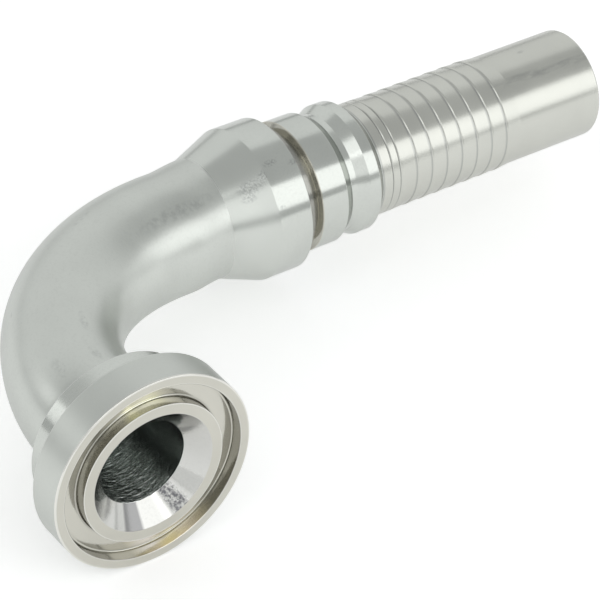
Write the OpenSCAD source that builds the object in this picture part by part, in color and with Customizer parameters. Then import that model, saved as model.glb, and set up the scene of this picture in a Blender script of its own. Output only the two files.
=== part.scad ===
// Elbow hose fitting with a split-clamp flange head: one bar of steel, turned,
// drilled through and then bent to a quarter turn.
// The sealing face looks along -Y, the hose stem runs along +X, and the origin
// is the centre of the sealing face.

/* [Flange head] */
// Outside diameter of the rim that the split clamp grips
head_d = 44.45; // [42:0.05:48]
// Thickness of that rim
head_t = 8; // [7:0.1:10]
// Bevel on the rim's front edge
rim_bevel = 0.2; // [0.1:0.1:0.8]
// Break on the rim's back edge
rim_back_bevel = 0.4; // [0.2:0.1:0.8]
// Width of the flat land outside the seal ring groove
outer_land_w = 2.2; // [1.8:0.05:2.6]
// Width of the seal ring groove
groove_w = 4.2; // [3.6:0.05:4.6]
// Depth of the seal ring groove
groove_depth = 2.75; // [2.2:0.05:3.2]
// Round at the foot of the groove's walls
groove_fillet = 0.5; // [0.2:0.1:0.8]
// Break on the groove's outer mouth
groove_break = 0.15; // [0.1:0.05:0.3]
// Width of the sealing land between the groove and the countersink
inner_land_w = 2.4; // [2:0.05:2.8]
// Diameter of the neck that the clamp halves close round
neck_d = 37; // [35:0.1:38]
// Length of the neck behind the rim
neck_l = 6.7; // [5:0.1:9]
// Round where the neck's back meets the tube
neck_fillet = 3; // [1.5:0.1:3.5]

/* [Elbow] */
// Outside diameter of the tube
tube_d = 26.2; // [25.5:0.1:27.5]
// Bore right through the fitting
bore_d = 18.9; // [16:0.1:20]
// Radius of the bend at the tube's centre line
bend_r = 44.5; // [40:0.5:60]
// Straight tube between the neck and the bend
head_leg = 5.6; // [4:0.1:12]
// Straight tube between the bend and the collar's cone
stem_leg = 8.9; // [2:0.1:20]

/* [Collar and ferrule lock] */
// Diameter of the wide collar
collar_d = 34.1; // [32:0.1:36]
// Length of the cone that rises to the collar
cone_l = 9.75; // [7:0.05:13]
// Length of the collar's cylinder
collar_l = 7.8; // [6:0.05:10]
// Width of the floor of the slot that the collar's slanted end falls to
slot_w = 0.25; // [0.2:0.05:1.2]
// Diameter of the two lock ridges that the ferrule is pressed behind
lock_d = 29.5; // [28.5:0.1:30.5]
// Length of the first ridge's cylinder
lock1_l = 6.5; // [5:0.1:8]
// Depth of the groove between the ridges
vee_depth = 1.4; // [1:0.05:1.6]
// Width of that groove's floor
vee_floor_w = 1.5; // [1:0.1:2.5]
// Length of the groove's slope next to the first ridge
vee_fall_l = 2.1; // [1.5:0.1:3]
// Length of the groove's slope next to the second ridge
vee_rise_l = 2.5; // [1.8:0.1:3.5]
// Length of the second ridge's cylinder
lock2_l = 2.6; // [1.5:0.1:4]

/* [Hose stem] */
// Diameter of the plain land and of the barbs' crests
stem_d = 25.6; // [25.2:0.1:26.4]
// Length of the plain land behind the second ridge
land_l = 5.55; // [5:0.05:9]
// Distance from the second ridge's foot to the first turned line
line_start = 2.85; // [2:0.05:3.2]
// Distance between the two turned lines
line_gap = 2; // [1:0.05:2]
// Width of a turned line
line_w = 0.5; // [0.3:0.05:0.6]
// Depth of a turned line
line_depth = 0.2; // [0.1:0.05:0.4]
// Number of saw-tooth barbs
barbs = 8; // [3:1:14]
// Length of one barb
barb_pitch = 4.1; // [3:0.05:6]
// Diameter of the plain nose and of the barbs' roots
nose_d = 24.9; // [24.2:0.1:25.1]
// Length of the plain nose
nose_l = 22.1; // [10:0.1:40]
// Bevel on the nose's rim
nose_bevel = 0.5; // [0.2:0.1:1]

/* [Hidden] */
$fn = 96;

steel = [0.72, 0.73, 0.71];
seat_angle = 45;
collar_end_angle = 45;
arc_steps = 4;
past = 1;

head_r = head_d / 2;
neck_r = neck_d / 2;
tube_r = tube_d / 2;
bore_r = bore_d / 2;
groove_out_r = head_r - outer_land_w;
groove_in_r = groove_out_r - groove_w;
seat_r = groove_in_r - inner_land_w;
seat_depth = (seat_r - bore_r) / tan(seat_angle);
head_l = head_t + neck_l;

collar_r = collar_d / 2;
lock_r = lock_d / 2;
stem_r = stem_d / 2;
nose_r = nose_d / 2;

// Where each feature of the stem starts, from the end of the bend
collar_x = stem_leg + cone_l;
collar_end_x = collar_x + collar_l;
slot_x = collar_end_x + (collar_r - stem_r) / tan(collar_end_angle);
lock1_x = slot_x + slot_w;
vee_x = lock1_x + lock1_l;
lock2_x = vee_x + vee_fall_l + vee_floor_w + vee_rise_l;
land_x = lock2_x + lock2_l + lock_r - stem_r;
barbs_x = land_x + land_l;
nose_x = barbs_x + barbs * barb_pitch;
stem_l = nose_x + nose_l;

// Points of a quarter round about a centre, from one angle to another
function arc(centre, r, from, to) = [
    for (i = [0 : arc_steps])
        let (a = from + (to - from) * i / arc_steps)
        centre + r * [cos(a), sin(a)]
];

// A turned line: a shallow V cut into the land
function turned_line(x) = [
    [stem_r, x - line_w / 2],
    [stem_r - line_depth, x],
    [stem_r, x + line_w / 2]
];

// A barb: its sharp crest on the side of the bend, then a slow fall to its root
function barb(i) = [
    [stem_r, barbs_x + i * barb_pitch],
    [nose_r, barbs_x + (i + 1) * barb_pitch]
];

// Half section of the head, as radius and distance behind the sealing face
head_profile = concat(
    [[0, 0],
     [groove_in_r, 0]],
    arc([groove_in_r + groove_fillet, groove_depth - groove_fillet], groove_fillet, 180, 90),
    arc([groove_out_r - groove_fillet, groove_depth - groove_fillet], groove_fillet, 90, 0),
    [[groove_out_r, groove_break],
     [groove_out_r + groove_break, 0],
     [head_r - rim_bevel, 0],
     [head_r, rim_bevel],
     [head_r, head_t - rim_back_bevel],
     [head_r - rim_back_bevel, head_t],
     [neck_r, head_t],
     [neck_r, head_l - rim_back_bevel],
     [neck_r - rim_back_bevel, head_l]],
    arc([tube_r + neck_fillet, head_l + neck_fillet], neck_fillet, 270, 180),
    [[tube_r, head_l + head_leg],
     [0, head_l + head_leg]]
);

// Half section of the stem, as radius and distance from the end of the bend
stem_profile = concat(
    [[0, 0],
     [tube_r, 0],
     [tube_r, stem_leg],
     [collar_r, collar_x],
     [collar_r, collar_end_x],
     [stem_r, slot_x],
     [stem_r, lock1_x],
     [lock_r, lock1_x],
     [lock_r, vee_x],
     [lock_r - vee_depth, vee_x + vee_fall_l],
     [lock_r - vee_depth, vee_x + vee_fall_l + vee_floor_w],
     [lock_r, lock2_x],
     [lock_r, lock2_x + lock2_l],
     [stem_r, land_x]],
    turned_line(land_x + line_start),
    turned_line(land_x + line_start + line_gap),
    [for (i = [0 : barbs - 1]) each barb(i)],
    [[nose_r, stem_l - nose_bevel],
     [nose_r - nose_bevel, stem_l],
     [0, stem_l]]
);

// Stands a profile's axis along +Y, with the profile's start at the origin
module along_y() {
    rotate([-90, 0, 0]) rotate_extrude() children();
}

// Lays a profile's axis along +X, with the profile's start at the origin
module along_x() {
    rotate([0, 90, 0]) rotate_extrude() children();
}

// A quarter ring round +Z whose section is a disc
module quarter_ring(r) {
    translate([bend_r, 0, 0])
        rotate([0, 0, 90])
            rotate_extrude(angle = 90)
                translate([bend_r, 0])
                    circle(r);
}

module flange_head() {
    along_y() polygon(head_profile);
}

module bend() {
    translate([0, head_l + head_leg, 0]) quarter_ring(tube_r);
}

module hose_stem() {
    translate([bend_r, head_l + head_leg + bend_r, 0])
        along_x() polygon(stem_profile);
}

// The drilled passage: countersunk seat, straight, quarter turn, straight
module passage() {
    bend_y = head_l + head_leg;
    translate([0, -past, 0])
        rotate([-90, 0, 0])
            cylinder(h = past + seat_depth, r1 = seat_r + past * tan(seat_angle), r2 = bore_r);
    rotate([-90, 0, 0]) cylinder(h = bend_y, r = bore_r);
    translate([0, bend_y, 0]) quarter_ring(bore_r);
    translate([bend_r, bend_y + bend_r, 0])
        rotate([0, 90, 0]) cylinder(h = stem_l + past, r = bore_r);
}

module flange_elbow_fitting() {
    color(steel)
        difference() {
            union() {
                flange_head();
                bend();
                hose_stem();
            }
            passage();
        }
}

flange_elbow_fitting();
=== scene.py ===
"""Looks of a zinc-plated elbow hose fitting with a split-clamp flange head.

The fitting is one bar of steel: a half section is turned about a path that runs
straight from the sealing face, round a quarter bend and straight along the hose stem.
"""

import math

import bpy
import numpy as np
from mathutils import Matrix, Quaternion, Vector


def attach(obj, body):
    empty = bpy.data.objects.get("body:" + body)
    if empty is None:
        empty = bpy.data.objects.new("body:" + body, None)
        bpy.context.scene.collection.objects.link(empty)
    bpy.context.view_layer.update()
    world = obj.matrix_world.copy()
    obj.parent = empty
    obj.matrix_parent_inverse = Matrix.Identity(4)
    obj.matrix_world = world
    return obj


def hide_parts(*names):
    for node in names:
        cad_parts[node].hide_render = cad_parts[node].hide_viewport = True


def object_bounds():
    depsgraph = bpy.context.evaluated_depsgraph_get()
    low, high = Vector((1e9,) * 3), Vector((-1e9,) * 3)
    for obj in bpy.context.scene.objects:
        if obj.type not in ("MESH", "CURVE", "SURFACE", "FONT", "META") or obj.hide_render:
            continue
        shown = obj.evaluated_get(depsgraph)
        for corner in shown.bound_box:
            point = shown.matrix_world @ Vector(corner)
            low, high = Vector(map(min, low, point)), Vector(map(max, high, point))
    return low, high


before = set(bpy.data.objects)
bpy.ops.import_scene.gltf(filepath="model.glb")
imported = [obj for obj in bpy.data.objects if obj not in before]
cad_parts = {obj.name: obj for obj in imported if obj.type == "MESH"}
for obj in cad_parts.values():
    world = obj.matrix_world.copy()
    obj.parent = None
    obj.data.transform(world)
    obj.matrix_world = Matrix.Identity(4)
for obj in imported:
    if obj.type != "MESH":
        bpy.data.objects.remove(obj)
cad_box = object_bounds()

MM = 0.001

# Sizes of the fitting, in millimetres

HEAD_R, HEAD_T = 22.225, 8.0
RIM_BEVEL, RIM_BACK_BEVEL = 0.3, 0.15
OUTER_LAND_W, GROOVE_W, INNER_LAND_W = 2.2, 4.2, 2.4
GROOVE_DEPTH, GROOVE_FILLET, GROOVE_BREAK = 2.75, 0.5, 0.15
LAND_BREAK, SEAT_BREAK = 0.1, 0.12
NECK_R, NECK_L, NECK_FILLET = 18.5, 6.7, 3.0
NECK_ROOT, NECK_BREAK = 0.3, 0.2

TUBE_R, BORE_R, BEND_R = 13.1, 9.45, 44.5
HEAD_LEG, STEM_LEG = 5.6, 8.9
# Bending left the tube thinner near the head, fuller at the cone, and off its line at both ends
THIN_R, THIN_AT, FULL_R = 12.45, 20.0, 13.4
OUTWARD_SHIFT, INWARD_SHIFT, SHIFT_PACE = 0.65, 1.1, 0.95

COLLAR_R, CONE_L, COLLAR_L = 17.05, 9.75, 7.8
CONE_FOOT_ROUND, CONE_TOP_ROUND, COLLAR_BREAK = 0.8, 0.6, 0.15
SLOT_W, SLOT_ROUND = 0.25, 0.01
LOCK_R, LOCK1_L, LOCK2_L, LOCK_BREAK = 14.75, 6.5, 2.6, 0.2
VEE_DEPTH, VEE_FLOOR_W, VEE_FALL_L, VEE_RISE_L = 1.4, 1.5, 2.1, 2.5
VEE_BREAK, VEE_FALL_ROUND, VEE_RISE_ROUND = 0.25, 0.4, 0.15

STEM_R, LAND_L, LAND_ROUND = 12.8, 5.55, 0.3
LINES, LINE_START, LINE_GAP = 2, 2.85, 2.0
LINE_W, LINE_DEPTH, LINE_BREAK = 0.5, 0.2, 0.06
BARBS, BARB_PITCH, BARB_LEAN, BARB_ROOT_R = 8, 4.1, 0.25, 12.6
CREST_ROUND, ROOT_ROUND = 0.5, 0.05
NOSE_R, NOSE_L, NOSE_BEVEL = 12.45, 22.1, 0.5
MOUTH_BREAK = 0.2

GROOVE_OUT_R = HEAD_R - OUTER_LAND_W
GROOVE_IN_R = GROOVE_OUT_R - GROOVE_W
SEAT_R = GROOVE_IN_R - INNER_LAND_W
SEAT_DEPTH = SEAT_R - BORE_R
HEAD_L = HEAD_T + NECK_L
BEND_START = HEAD_L + HEAD_LEG
BEND_END = BEND_START + BEND_R * math.pi / 2
CONE_S = BEND_END + STEM_LEG
COLLAR_S = CONE_S + CONE_L
COLLAR_END_S = COLLAR_S + COLLAR_L
SLOT_S = COLLAR_END_S + COLLAR_R - STEM_R
LOCK1_S = SLOT_S + SLOT_W
VEE_S = LOCK1_S + LOCK1_L
LOCK2_S = VEE_S + VEE_FALL_L + VEE_FLOOR_W + VEE_RISE_L
LAND_S = LOCK2_S + LOCK2_L + LOCK_R - STEM_R
BARBS_S = LAND_S + LAND_L
TAIL_S = BARBS_S + BARBS * BARB_PITCH + NOSE_L

# Zones of the surface, in the order of the material slots
FACE, GROOVE, HEAD, TUBE, COLLAR, SLOT, LOCK_FACE, STEM, BORE, SEAT, CONE = range(11)

# The mesh: points round the path, and each zone's longest step along the section
AROUND = 180
LONGEST = {FACE: 1.2, GROOVE: 1, HEAD: 1.5, TUBE: 1.1, COLLAR: 1.5, SLOT: 0.8, LOCK_FACE: 0.8, STEM: 2,
           BORE: 1.4, SEAT: 0.8, CONE: 1.5}
# Steps along a corner's round, steps along a wide one, and the least radius of a wide one
ARC_STEPS, WIDE_ARC_STEPS, WIDE_ROUND = 4, 10, 1.0
# A round takes at most this share of the side next to it
CUT_SHARE = 0.45
# Half the step, in millimetres, over which the surface's slope is taken
SLOPE_STEP = 0.01


# The half section, as corners: distance along the path, radius, size of the round, zone after it

def head_corners():
    """From the countersink's mouth over the face and the rim to the foot of the neck."""
    return [
        (0, SEAT_R, LAND_BREAK, FACE),
        (0, GROOVE_IN_R, LAND_BREAK, GROOVE),
        (GROOVE_DEPTH, GROOVE_IN_R, GROOVE_FILLET, FACE),
        (GROOVE_DEPTH, GROOVE_OUT_R, GROOVE_FILLET, GROOVE),
        (0, GROOVE_OUT_R, GROOVE_BREAK, FACE),
        (0, HEAD_R, RIM_BEVEL, HEAD),
        (HEAD_T, HEAD_R, RIM_BACK_BEVEL, HEAD),
        (HEAD_T, NECK_R, NECK_ROOT, COLLAR),
        (HEAD_L, NECK_R, NECK_BREAK, HEAD),
        (HEAD_L, TUBE_R, NECK_FILLET, TUBE),
    ]


def lock_corners():
    """The bent tube, the collar, the slot and the two lock ridges with the groove between them."""
    return [
        (BEND_START, TUBE_R, 0, TUBE),
        (BEND_END, TUBE_R, 0, TUBE),
        (CONE_S, TUBE_R, CONE_FOOT_ROUND, CONE),
        (COLLAR_S, COLLAR_R, CONE_TOP_ROUND, COLLAR),
        (COLLAR_END_S, COLLAR_R, COLLAR_BREAK, SLOT),
        (SLOT_S + SLOT_W / 2, STEM_R, SLOT_ROUND, LOCK_FACE),
        (LOCK1_S, STEM_R, SLOT_ROUND, LOCK_FACE),
        (LOCK1_S, LOCK_R, LOCK_BREAK, COLLAR),
        (VEE_S, LOCK_R, VEE_BREAK, COLLAR),
        (VEE_S + VEE_FALL_L, LOCK_R - VEE_DEPTH, VEE_FALL_ROUND, COLLAR),
        (VEE_S + VEE_FALL_L + VEE_FLOOR_W, LOCK_R - VEE_DEPTH, VEE_RISE_ROUND, COLLAR),
        (LOCK2_S, LOCK_R, VEE_RISE_ROUND, COLLAR),
        (LOCK2_S + LOCK2_L, LOCK_R, LOCK_BREAK, COLLAR),
        (LAND_S, STEM_R, LAND_ROUND, STEM),
    ]


def stem_corners():
    """The plain land with its two turned lines, the barbs and the nose."""
    out = []
    for i in range(LINES):
        line = LAND_S + LINE_START + i * LINE_GAP
        out += [
            (line - LINE_W / 2, STEM_R, LINE_BREAK, STEM),
            (line, STEM_R - LINE_DEPTH, LINE_BREAK, STEM),
            (line + LINE_W / 2, STEM_R, LINE_BREAK, STEM),
        ]
    for i in range(BARBS):
        crest = BARBS_S + i * BARB_PITCH
        root_r = BARB_ROOT_R if i < BARBS - 1 else NOSE_R
        out += [
            (crest, STEM_R, CREST_ROUND, STEM),
            (crest + BARB_PITCH - BARB_LEAN, root_r, ROOT_ROUND, STEM),
        ]
    return out + [(TAIL_S, NOSE_R, NOSE_BEVEL, STEM)]


def inner_corners():
    """The inside, from the nose's mouth back to the countersink."""
    return [
        (TAIL_S, BORE_R, MOUTH_BREAK, BORE),
        (BEND_END, BORE_R, 0, BORE),
        (BEND_START, BORE_R, 0, BORE),
        (SEAT_DEPTH, BORE_R, SEAT_BREAK, SEAT),
    ]


def softened(corners):
    """Rounds each corner of the closed half section: rows of place, slope, zone and edge mark.

    The mark grows with the corner's turn, above 0 on an outside corner and below 0 on an inside one.
    """
    rows = []
    n = len(corners)
    for i, (s, r, soft, zone) in enumerate(corners):
        before, here, after = (np.array(corners[k % n][:2], float) for k in (i - 1, i, i + 1))
        a, b = before - here, after - here
        la, lb = np.linalg.norm(a), np.linalg.norm(b)
        a, b = a / la, b / lb
        if soft == 0:
            rows.append((here, b, zone, 0.0))
            continue
        between = math.acos(max(-1, min(1, float(a @ b))))
        cut = min(soft / math.tan(between / 2), CUT_SHARE * la, CUT_SHARE * lb)
        start, end = here + a * cut, here + b * cut
        edge = math.copysign(math.cos(between / 2), a[0] * b[1] - a[1] * b[0])
        steps = ARC_STEPS if soft < WIDE_ROUND else WIDE_ARC_STEPS
        for k in range(steps + 1):
            t = k / steps
            place = (1 - t) ** 2 * start + 2 * t * (1 - t) * here + t ** 2 * end
            slope = (1 - t) * (here - start) + t * (end - here)
            rows.append((place, slope, zone if k == steps else corners[i - 1][3], edge))
    return rows


def refined(rows):
    """Splits the long stretches of the closed half section, each zone to its own step."""
    out = []
    for i, (place, slope, zone, edge) in enumerate(rows):
        out.append((place, slope, zone, edge))
        step = rows[(i + 1) % len(rows)][0] - place
        parts = max(1, math.ceil(np.linalg.norm(step) / LONGEST[zone]))
        for k in range(1, parts):
            out.append((place + step * k / parts, step, zone, 0.0))
    return out


# The path

def ease(t):
    """0 below 0, 1 above 1, smooth between."""
    t = min(1.0, max(0.0, t))
    return t * t * (3 - 2 * t)


def bend_shift(s):
    """How far the bent tube stands off its line, away from the bend's inside."""
    along = (s - BEND_START) / (BEND_END - BEND_START)
    drift = OUTWARD_SHIFT - (OUTWARD_SHIFT + INWARD_SHIFT) * ease(along * SHIFT_PACE)
    return drift * ease((s - HEAD_L) / HEAD_LEG) * ease((CONE_S - s) / STEM_LEG)


def bend_swell(s):
    """How far the bent tube's radius is above its nominal one."""
    past = s - BEND_START
    thin = (THIN_R - TUBE_R) * ease(past / THIN_AT)
    full = (FULL_R - THIN_R) * ease((past - THIN_AT) / (BEND_END - BEND_START - THIN_AT))
    return (thin + full) * min(1.0, max(0.0, (COLLAR_S - s) / CONE_L))


def path_frame(s):
    """Centre of the section at distance s along the path, and the direction away from the bend's inside."""
    if s <= BEND_START:
        return np.array((0, s, 0.0)), np.array((-1.0, 0, 0))
    if s >= BEND_END:
        return np.array((BEND_R + s - BEND_END, BEND_START + BEND_R, 0.0)), np.array((0, 1.0, 0))
    a = (s - BEND_START) / BEND_R
    out = np.array((-math.cos(a), math.sin(a), 0))
    return np.array((BEND_R, BEND_START, 0)) + out * BEND_R, out


def ring_angles():
    """The angles of a ring's points round the path, from the side away from the bend's inside."""
    return np.linspace(0, 2 * math.pi, AROUND, endpoint=False)


def ring(place, inside):
    """The points of one ring of the surface round the path. Only the outside drifts and swells."""
    s, r = place
    centre, out = path_frame(s)
    if not inside:
        centre = centre + out * bend_shift(s)
        r = r + bend_swell(s)
    angles = ring_angles()[:, None]
    return centre + r * (np.cos(angles) * out + np.sin(angles) * np.array((0, 0, 1.0)))


def ring_normals(place, slope, inside):
    """The surface's normals along one ring."""
    step = SLOPE_STEP * slope / np.linalg.norm(slope)
    along = ring(place + step, inside) - ring(place - step, inside)
    here = ring(place, inside)
    normals = np.cross(np.roll(here, -1, 0) - np.roll(here, 1, 0), along)
    return normals / np.linalg.norm(normals, axis=1)[:, None]


def store(mesh, name, kind, field, values):
    """Keeps one value per point of the mesh."""
    data = mesh.attributes.new(name, kind, "POINT").data
    data.foreach_set(field, np.asarray(values, np.float32).ravel())


def fitting_mesh():
    """The whole fitting as one closed surface."""
    rows = refined(softened(head_corners() + lock_corners() + stem_corners() + inner_corners()))
    n = len(rows)
    inside = [row[2] in (BORE, SEAT) for row in rows]
    verts = np.stack([ring(row[0], within) for row, within in zip(rows, inside)])
    normals = np.stack([ring_normals(*row[:2], within) for row, within in zip(rows, inside)])
    i, j = np.meshgrid(np.arange(n), np.arange(AROUND), indexing="ij")
    i2, j2 = (i + 1) % n, (j + 1) % AROUND
    quads = np.stack([i * AROUND + j, i * AROUND + j2, i2 * AROUND + j2, i2 * AROUND + j], axis=-1)
    mesh = bpy.data.meshes.new("elbow_fitting")
    mesh.from_pydata((verts.reshape(-1, 3) * MM).tolist(), [], quads.reshape(-1, 4).tolist())
    zones = np.repeat([row[2] for row in rows], AROUND)
    mesh.polygons.foreach_set("material_index", zones.astype(np.int32))
    mesh.polygons.foreach_set("use_smooth", np.ones(len(zones), dtype=bool))
    mesh.normals_split_custom_set_from_vertices(normals.reshape(-1, 3).tolist())
    # The straight bar that the fitting was bent from: across its section, and along its axis
    bar = [[(r * math.cos(a), r * math.sin(a), s) for a in ring_angles()] for (s, r), *_ in rows]
    store(mesh, "bar", "FLOAT_VECTOR", "vector", np.array(bar) * MM)
    store(mesh, "edge", "FLOAT", "value", np.repeat([row[3] for row in rows], AROUND))
    mesh.update()
    return mesh


# Materials

# A patch is whole up to this share of its squared reach, and fades from there on
PATCH_CORE = 0.2


class Nodes:
    """Short ways to add nodes to one material."""

    def __init__(self, name):
        self.material = bpy.data.materials.new(name)
        self.material.use_nodes = True
        self.tree = self.material.node_tree
        self.shader = self.tree.nodes["Principled BSDF"]

    def add(self, kind, **values):
        node = self.tree.nodes.new(kind)
        for key, value in values.items():
            if key in node.inputs:
                node.inputs[key].default_value = value
            else:
                setattr(node, key, value)
        return node

    def link(self, a, b):
        self.tree.links.new(a, b)

    def attribute(self, name, output):
        return self.add("ShaderNodeAttribute", attribute_name=name).outputs[output]

    def stretched(self, across, along):
        """The straight bar's coordinates, with so many features a metre across and along it."""
        node = self.add("ShaderNodeVectorMath", operation="MULTIPLY")
        self.link(self.attribute("bar", "Vector"), node.inputs[0])
        node.inputs[1].default_value = (across, across, along)
        return node.outputs[0]

    def bar(self):
        """The straight bar's coordinates one by one, in metres: two across it and one along it."""
        split = self.add("ShaderNodeSeparateXYZ")
        self.link(self.attribute("bar", "Vector"), split.inputs[0])
        return split.outputs

    def around(self, centre):
        """How far round the straight bar the point lies from an angle, both in degrees."""
        split = self.bar()
        angle = self.combine("ARCTAN2", split[1], split[0])
        turned = self.combine("SUBTRACT", self.combine("MULTIPLY", angle, 180 / math.pi), float(centre))
        return self.combine("ABSOLUTE", self.combine("WRAP", turned, 180.0, -180.0))

    def patch(self, angle, place, wide, long):
        """1 at an angle and a place along the straight bar, and 0 from so many degrees or millimetres off."""
        across = self.combine("DIVIDE", self.around(angle), float(wide))
        off = self.combine("SUBTRACT", self.combine("DIVIDE", self.bar()[2], MM), float(place))
        along = self.combine("DIVIDE", off, float(long))
        squares = (self.combine("MULTIPLY", a, a) for a in (across, along))
        return self.ramp(self.combine("ADD", *squares), PATCH_CORE, 1, 1, 0)

    def wedge(self, angle, whole, gone, least=0.0):
        """1 up to so many degrees round the straight bar from an angle, and the least from so many on."""
        return self.ramp(self.around(angle), whole, gone, 1, least)

    def noise(self, across, along=None, detail=3.0, rough=0.55):
        node = self.add("ShaderNodeTexNoise", Scale=1.0, Detail=detail, Roughness=rough)
        self.link(self.stretched(across, across if along is None else along), node.inputs["Vector"])
        return node.outputs["Fac"]

    def ramp(self, value, low, high, a, b):
        """Takes low to a and high to b, and stays at a or b beyond them."""
        node = self.add("ShaderNodeMapRange")
        self.link(value, node.inputs["Value"])
        for key, number in (("From Min", low), ("From Max", high), ("To Min", a), ("To Max", b)):
            node.inputs[key].default_value = number
        return node.outputs["Result"]

    def combine(self, operation, *values):
        node = self.add("ShaderNodeMath", operation=operation)
        for socket, value in zip(node.inputs, values):
            if isinstance(value, float):
                socket.default_value = value
            else:
                self.link(value, socket)
        return node.outputs[0]

    def mix(self, amount, a, b):
        node = self.add("ShaderNodeMix", data_type="RGBA")
        self.link(amount, node.inputs[0])
        for socket, colour in ((node.inputs[6], a), (node.inputs[7], b)):
            if isinstance(colour, tuple):
                socket.default_value = (*colour, 1)
            else:
                self.link(colour, socket)
        return node.outputs[2]

    def bump(self, height, depth, under=None):
        """Relief of the given depth in millimetres, over another relief."""
        node = self.add("ShaderNodeBump", Strength=1.0, Distance=depth * MM)
        self.link(height, node.inputs["Height"])
        if under is not None:
            self.link(under, node.inputs["Normal"])
        return node.outputs["Normal"]


ZINC = (0.585, 0.605, 0.575)
WORN = (0.90, 0.90, 0.88)
# The colour that the creases darken towards
CREASE_DARK = (0.30, 0.30, 0.26)
# Dark of the marks, and of the painted shade and painted dark reflections
DARK_MARK_AND_SHADE = (0.25, 0.26, 0.26)
# Colour of the painted shadow in the countersink
PAINTED_SHADOW = (0.27, 0.27, 0.27)
TORN = (0.16, 0.16, 0.17)
GRAZING_TINT = (0.79, 0.79, 0.79)

# How many features a metre the plate's patterns have
CLOUD_SCALE, SPECK_SCALE, WAVE_SCALE, GRAIN_SCALE = 70, 1800, 90, 1500
TURNED_ACROSS, TURNED_ALONG, PAINTED_GLINT_SCALE = 40, 2600, 160

# Values of the noise between which clouds, specks and breaks in the dark marks set in
CLOUDED, CLOUD_ROUGHENED = (0.35, 0.65), (0.3, 0.7)
SPECKED, SPECK_ROUGHENED = (0.5, 0.75), (0.45, 0.75)
MARK_BROKEN = (0.42, 0.62)

# Shades of the plate's colour off the clouds and in the specks, and how much the creases are darkened
OFF_CLOUD_SHADE, SPECK_SHADE, CREASE_DARKENING = 0.94, 0.6, 0.3

# How much smoother the plate is off the clouds, and how much rougher in them and in whole specks
OFF_CLOUD_SMOOTHER, CLOUD_ROUGHER, SPECK_ROUGHER = 0.03, 0.02, 0.3

# Edge marks between which wear, the darkening of the creases and the painted shade at the barbs' roots set in
WORN_EDGE, DARKENED_CREASE, PAINTED_ROOT_SHADE = (0.6, 0.7), (-0.4, -1), (-0.24, -0.33)

# Marks in the plate: angle round the straight bar, place along it, half width and half length. The tube's
# first mark is a painted dark reflection above its highlight, and the stem's first two are smudges that also
# paint the dark reflection above its highlight
TUBE_MARKS_AND_PAINTED_REFLECTION = [(123, 86, 8, 14), (70, 70, 4, 3), (36, 45, 2, 1), (107, 36, 5, 4), (65, 24, 6, 3),
              (100, 24, 5, 3)]
CONE_MARKS = [(130, 105, 7, 3.5), (138, 104, 4, 2), (126, 108.5, 5, 1.5)]
COLLAR_MARKS = [(119, 111, 3, 2), (152, 110, 2, 0.8), (124, 117, 3, 2.5)]
STEM_MARKS_AND_PAINTED_REFLECTION = [(118, 179, 6, 9), (121, 192, 6, 12), (87, 185.2, 3, 1.2)]

# Glints painted in the groove's yellow passivate where the lights' reflections fall: angle round the bar,
# gold and pale
PAINTED_GLINTS = [(84, (0.80, 0.79, 0.62), (0.72, 0.71, 0.66)), (-106, (1.0, 0.93, 0.70), (0.92, 0.88, 0.88))]

# Angles of the countersink's wedge of painted shadow and of its torn wedge, and of the middle of the bore's
# wrinkles
PAINTED_SHADOW_AT, TORN_AT, WRINKLED_AT = -71, -120, -78


def shaded(colour, amount):
    return tuple(c * amount for c in colour)


def zinc(name, colour, roughness, grain=0.0, turned=0.0, waves=0.02, specks=0.0, worn=0.06):
    """Zinc plate: clouded colour, specks, grain, turned lines, worn corners and darker creases.

    Grain, turned lines and waves are depths in millimetres, and specks and worn are strengths.
    """
    n = Nodes(name)
    n.shader.inputs["Metallic"].default_value = 1.0
    n.shader.inputs["Specular Tint"].default_value = (*GRAZING_TINT, 1)
    cloud = n.noise(CLOUD_SCALE, detail=2)
    speck = n.noise(SPECK_SCALE, detail=2)
    edge = n.attribute("edge", "Fac")
    n.colour = n.mix(n.ramp(cloud, *CLOUDED, 0, 1), shaded(colour, OFF_CLOUD_SHADE), colour)
    n.colour = n.mix(n.ramp(speck, *SPECKED, 0, specks), n.colour, shaded(colour, SPECK_SHADE))
    n.colour = n.mix(n.ramp(edge, *WORN_EDGE, 0, worn), n.colour, WORN)
    # Darker towards the inside corners, the more so the sharper they turn
    n.colour = n.mix(n.ramp(edge, *DARKENED_CREASE, 0, CREASE_DARKENING), n.colour, CREASE_DARK)
    smooth, rough = roughness - OFF_CLOUD_SMOOTHER, roughness + CLOUD_ROUGHER
    n.rough = n.combine("ADD", n.ramp(cloud, *CLOUD_ROUGHENED, smooth, rough),
                        n.ramp(speck, *SPECK_ROUGHENED, 0, SPECK_ROUGHER * specks))
    n.normal = n.bump(n.noise(WAVE_SCALE, detail=1), waves)
    n.normal = n.bump(n.noise(TURNED_ACROSS, TURNED_ALONG, detail=2), turned, n.normal)
    n.normal = n.bump(n.noise(GRAIN_SCALE, detail=3), grain, n.normal)
    return n


def marks_and_painted_reflections(n, dark_patches, amount, broken):
    """Breaks dark marks into a material, each with its angle, place, half width and half length; some of them
    are painted dark reflections.
    """
    for dark_patch in dark_patches:
        strength = n.combine("MULTIPLY", n.patch(*dark_patch), n.ramp(broken, *MARK_BROKEN, 0, amount))
        n.colour = n.mix(strength, n.colour, DARK_MARK_AND_SHADE)


def finished(n):
    """Joins a material's colour, roughness and relief to its shader."""
    n.link(n.colour, n.shader.inputs["Base Color"])
    n.link(n.rough, n.shader.inputs["Roughness"])
    n.link(n.normal, n.shader.inputs["Normal"])
    return n.material


def face_zinc():
    """The turned sealing face: warmer, and almost smooth, with bright edges."""
    colour = (0.57, 0.56, 0.505)
    return finished(zinc("zinc_face", colour, roughness=0.13, grain=0.001, turned=0.0015, worn=0.45))


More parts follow.
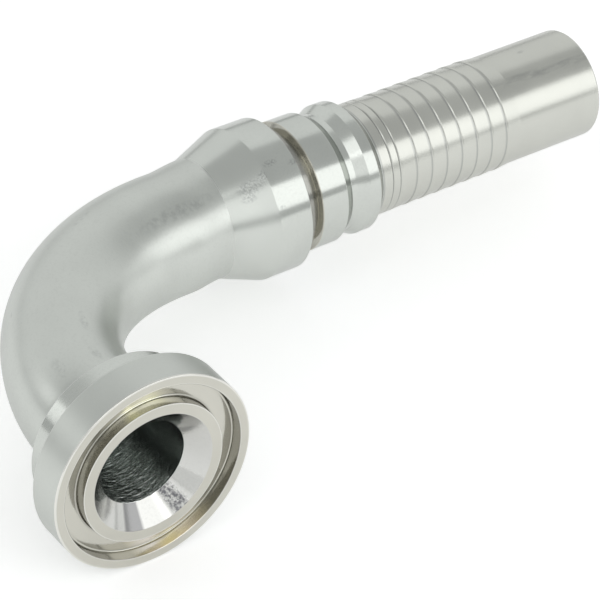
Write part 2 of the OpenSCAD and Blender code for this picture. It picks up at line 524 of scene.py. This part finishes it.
def groove_zinc():
    """The seal ring groove: yellow passivate, with glints painted in it in places."""
    n = zinc("zinc_groove", (0.45, 0.44, 0.40), roughness=0.1, grain=0.001, turned=0.003)
    # Paints bright yellow glints at two angles round the groove
    for angle, gold, pale in PAINTED_GLINTS:
        glint = n.mix(n.ramp(n.noise(PAINTED_GLINT_SCALE, detail=1), *CLOUDED, 0, 1), gold, pale)
        n.colour = n.mix(n.wedge(angle, whole=8, gone=28), n.colour, glint)
    return finished(n)


def head_zinc():
    """The rim and the neck's ends."""
    colour = shaded(ZINC, 0.97)
    return finished(zinc("zinc_head", colour, roughness=0.34, grain=0.004, turned=0.002, specks=0.05))


def tube_zinc():
    """The bent tube: a matt grain, soft dents, dark marks and a painted dark reflection above its highlight.
    """
    n = zinc("zinc_tube", ZINC, roughness=0.32, grain=0.014, waves=0.08, specks=0.12)
    # The first mark paints the dark reflection above the tube's highlight
    marks_and_painted_reflections(n, TUBE_MARKS_AND_PAINTED_REFLECTION, amount=0.3, broken=n.noise(800, detail=4, rough=0.7))
    n.normal = n.bump(n.noise(550, detail=3, rough=0.65), depth=0.014, under=n.normal)
    return finished(n)


def cone_zinc():
    """The cone between the tube and the collar: turned, but duller than the collar, and pitted."""
    n = zinc("zinc_cone", ZINC, roughness=0.23, turned=0.002)
    marks_and_painted_reflections(n, CONE_MARKS, amount=0.5, broken=n.noise(2200, detail=3, rough=0.7))
    return finished(n)


def collar_zinc():
    """The collar, the lock ridges and the neck: finely turned."""
    n = zinc("zinc_collar", ZINC, roughness=0.17, grain=0.003, turned=0.002, specks=0.1)
    marks_and_painted_reflections(n, COLLAR_MARKS, amount=0.5, broken=n.noise(2200, detail=3, rough=0.7))
    return finished(n)


def slot_zinc():
    """The collar's slanted end, sheltered in its slot: bright."""
    return finished(zinc("zinc_slot", (0.95, 0.965, 1.0), roughness=0.16, grain=0.001, turned=0.001))


def lock_face_zinc():
    """The first ridge's front face: olive passivate."""
    return finished(zinc("zinc_lock_face", (0.50, 0.485, 0.42), roughness=0.12))


def stem_zinc():
    """The hose stem: turned, with smudges that also paint the dark reflection above its highlight, and
    painted shade at the barbs' roots.
    """
    n = zinc("zinc_stem", (0.58, 0.585, 0.545), roughness=0.235, grain=0.001, turned=0.003, specks=0.03)
    # The first two marks are smudges that also paint the dark reflection above the stem's highlight
    marks_and_painted_reflections(n, STEM_MARKS_AND_PAINTED_REFLECTION, amount=0.4, broken=n.noise(across=300, along=110, detail=4, rough=0.7))
    n.normal = n.bump(n.noise(across=700, along=25), depth=0.006, under=n.normal)
    # Painted shade just before each barb's root
    n.colour = n.mix(n.ramp(n.attribute("edge", "Fac"), *PAINTED_ROOT_SHADE, 0, 0.5), n.colour, DARK_MARK_AND_SHADE)
    return finished(n)


def bore_zinc():
    """The bore: plate that is dark for want of light, wrinkled by the bending."""
    n = zinc("zinc_bore", (0.86, 0.90, 0.87), roughness=0.19)
    wrinkled = n.wedge(WRINKLED_AT, whole=25, gone=75, least=0.15)
    wrinkles = n.combine("MULTIPLY", wrinkled, n.noise(across=480, along=1900, detail=3))
    n.normal = n.bump(wrinkles, depth=0.48, under=n.normal)
    return finished(n)


def seat_zinc():
    """The countersink: bright, with a wedge of painted shadow and a torn one."""
    n = zinc("zinc_seat", (0.60, 0.60, 0.58), roughness=0.14, grain=0.006, specks=0.1)
    # Paints a shadow into a wedge of the countersink
    n.colour = n.mix(n.wedge(PAINTED_SHADOW_AT, whole=8, gone=11), n.colour, PAINTED_SHADOW)
    torn = n.wedge(TORN_AT, whole=6, gone=10)
    pits = n.ramp(n.noise(1400, detail=4, rough=0.7), 0.42, 0.6, 1, 0)
    n.colour = n.mix(n.combine("MULTIPLY", torn, pits), n.colour, TORN)
    n.rough = n.combine("ADD", n.rough, n.ramp(torn, 0, 1, 0, 0.2))
    tears = n.combine("MULTIPLY", torn, n.noise(1100, detail=4, rough=0.7))
    n.normal = n.bump(tears, depth=0.25, under=n.normal)
    return finished(n)


# The fitting

fitting = bpy.data.objects.new("elbow_fitting", fitting_mesh())
bpy.context.scene.collection.objects.link(fitting)
for finish in (face_zinc, groove_zinc, head_zinc, tube_zinc, collar_zinc, slot_zinc, lock_face_zinc,
               stem_zinc, bore_zinc, seat_zinc, cone_zinc):
    fitting.data.materials.append(finish())
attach(fitting, "root")
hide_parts("flange_elbow_fitting")
# The solid that the fitting stands in for has the tube's finish
for slot in bpy.data.objects[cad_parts["flange_elbow_fitting"].name].material_slots:
    slot.material = fitting.data.materials[TUBE]

# Floor

FLOOR_SIZE, FLOOR_GLOW = 6.0, 0.32
FLOOR_MIDDLE = (0.05, 0.04)

bpy.ops.mesh.primitive_plane_add(size=FLOOR_SIZE, location=(*FLOOR_MIDDLE, cad_box[0].z))
floor = bpy.context.object
floor.name = "floor"
paper = Nodes("floor_white")
paper.shader.inputs["Base Color"].default_value = (0.9, 0.9, 0.9, 1)
paper.shader.inputs["Roughness"].default_value = 0.9
paper.shader.inputs["Emission Color"].default_value = (1, 1, 1, 1)
paper.shader.inputs["Emission Strength"].default_value = FLOOR_GLOW
floor.data.materials.append(paper.material)

# Light

SKY, SKY_COLOUR = 0.60, (0.98, 1.0, 0.99, 1)
SOFTBOX_DISTANCE = 1.6
# Each softbox's azimuth from +X towards +Y, elevation, width, height and roll in degrees, and radiance
SOFTBOXES = {
    "key": (-61.5, 27.5, 58, 32, -22, 1.08),
    "key_side": (-107, 31, 36, 40, 0, 0.62),
    "key_end": (-17, 12, 26, 18, 0, 0.42),
    "front_top": (-146, 53, 30, 24, 0, 0.9),
    "left": (180, 25, 60, 50, 0, 0.26),
    "back": (60, 32, 120, 50, 0, 0.34),
    "back_left": (134, 18, 14, 18, 0, 0.8),
    "low_left": (-137, 8, 26, 22, 0, 0.35),
}


def direction(azimuth, elevation):
    a, e = math.radians(azimuth), math.radians(elevation)
    return Vector((math.cos(a) * math.cos(e), math.sin(a) * math.cos(e), math.sin(e)))


def facing(azimuth, elevation, roll):
    """The turn of a lamp or a camera that stands in a direction and looks back along it."""
    aim = (-direction(azimuth, elevation)).to_track_quat("-Z", "Y")
    return (aim @ Quaternion((0, 0, 1), math.radians(roll))).to_euler()


def softbox(name, azimuth, elevation, wide, high, roll, radiance):
    """A rectangular light that faces the fitting."""
    lamp = bpy.data.lights.new(name, "AREA")
    lamp.shape = "RECTANGLE"
    lamp.size, lamp.size_y = (2 * SOFTBOX_DISTANCE * math.tan(math.radians(a) / 2) for a in (wide, high))
    lamp.energy = radiance * math.pi * lamp.size * lamp.size_y
    box = bpy.data.objects.new(name, lamp)
    box.location = (cad_box[0] + cad_box[1]) / 2 + direction(azimuth, elevation) * SOFTBOX_DISTANCE
    box.rotation_euler = facing(azimuth, elevation, roll)
    bpy.context.scene.collection.objects.link(box)


world = bpy.data.worlds.new("studio")
bpy.context.scene.world = world
world.use_nodes = True
world.node_tree.nodes["Background"].inputs["Color"].default_value = SKY_COLOUR
world.node_tree.nodes["Background"].inputs["Strength"].default_value = SKY
for name, values in SOFTBOXES.items():
    softbox(name, *values)

# Camera

# Azimuth, elevation and roll in degrees
CAMERA_TURN = (-126.606, 37.097, 2.605)
CAMERA_AT = Vector((-259.73, -393.95, 399.37)) * MM
FOCAL_PIXELS, PHOTO_PIXELS = 3221.0, 600.0

lens = bpy.data.cameras.new("camera")
lens.sensor_width = 36.0
lens.lens = lens.sensor_width * FOCAL_PIXELS / PHOTO_PIXELS
lens.clip_start, lens.clip_end = 0.01, 20.0
camera = bpy.data.objects.new("camera", lens)
bpy.context.scene.collection.objects.link(camera)
camera.location = CAMERA_AT
camera.rotation_euler = facing(*CAMERA_TURN)
bpy.context.scene.camera = camera
bpy.context.scene.view_settings.view_transform = "Standard"
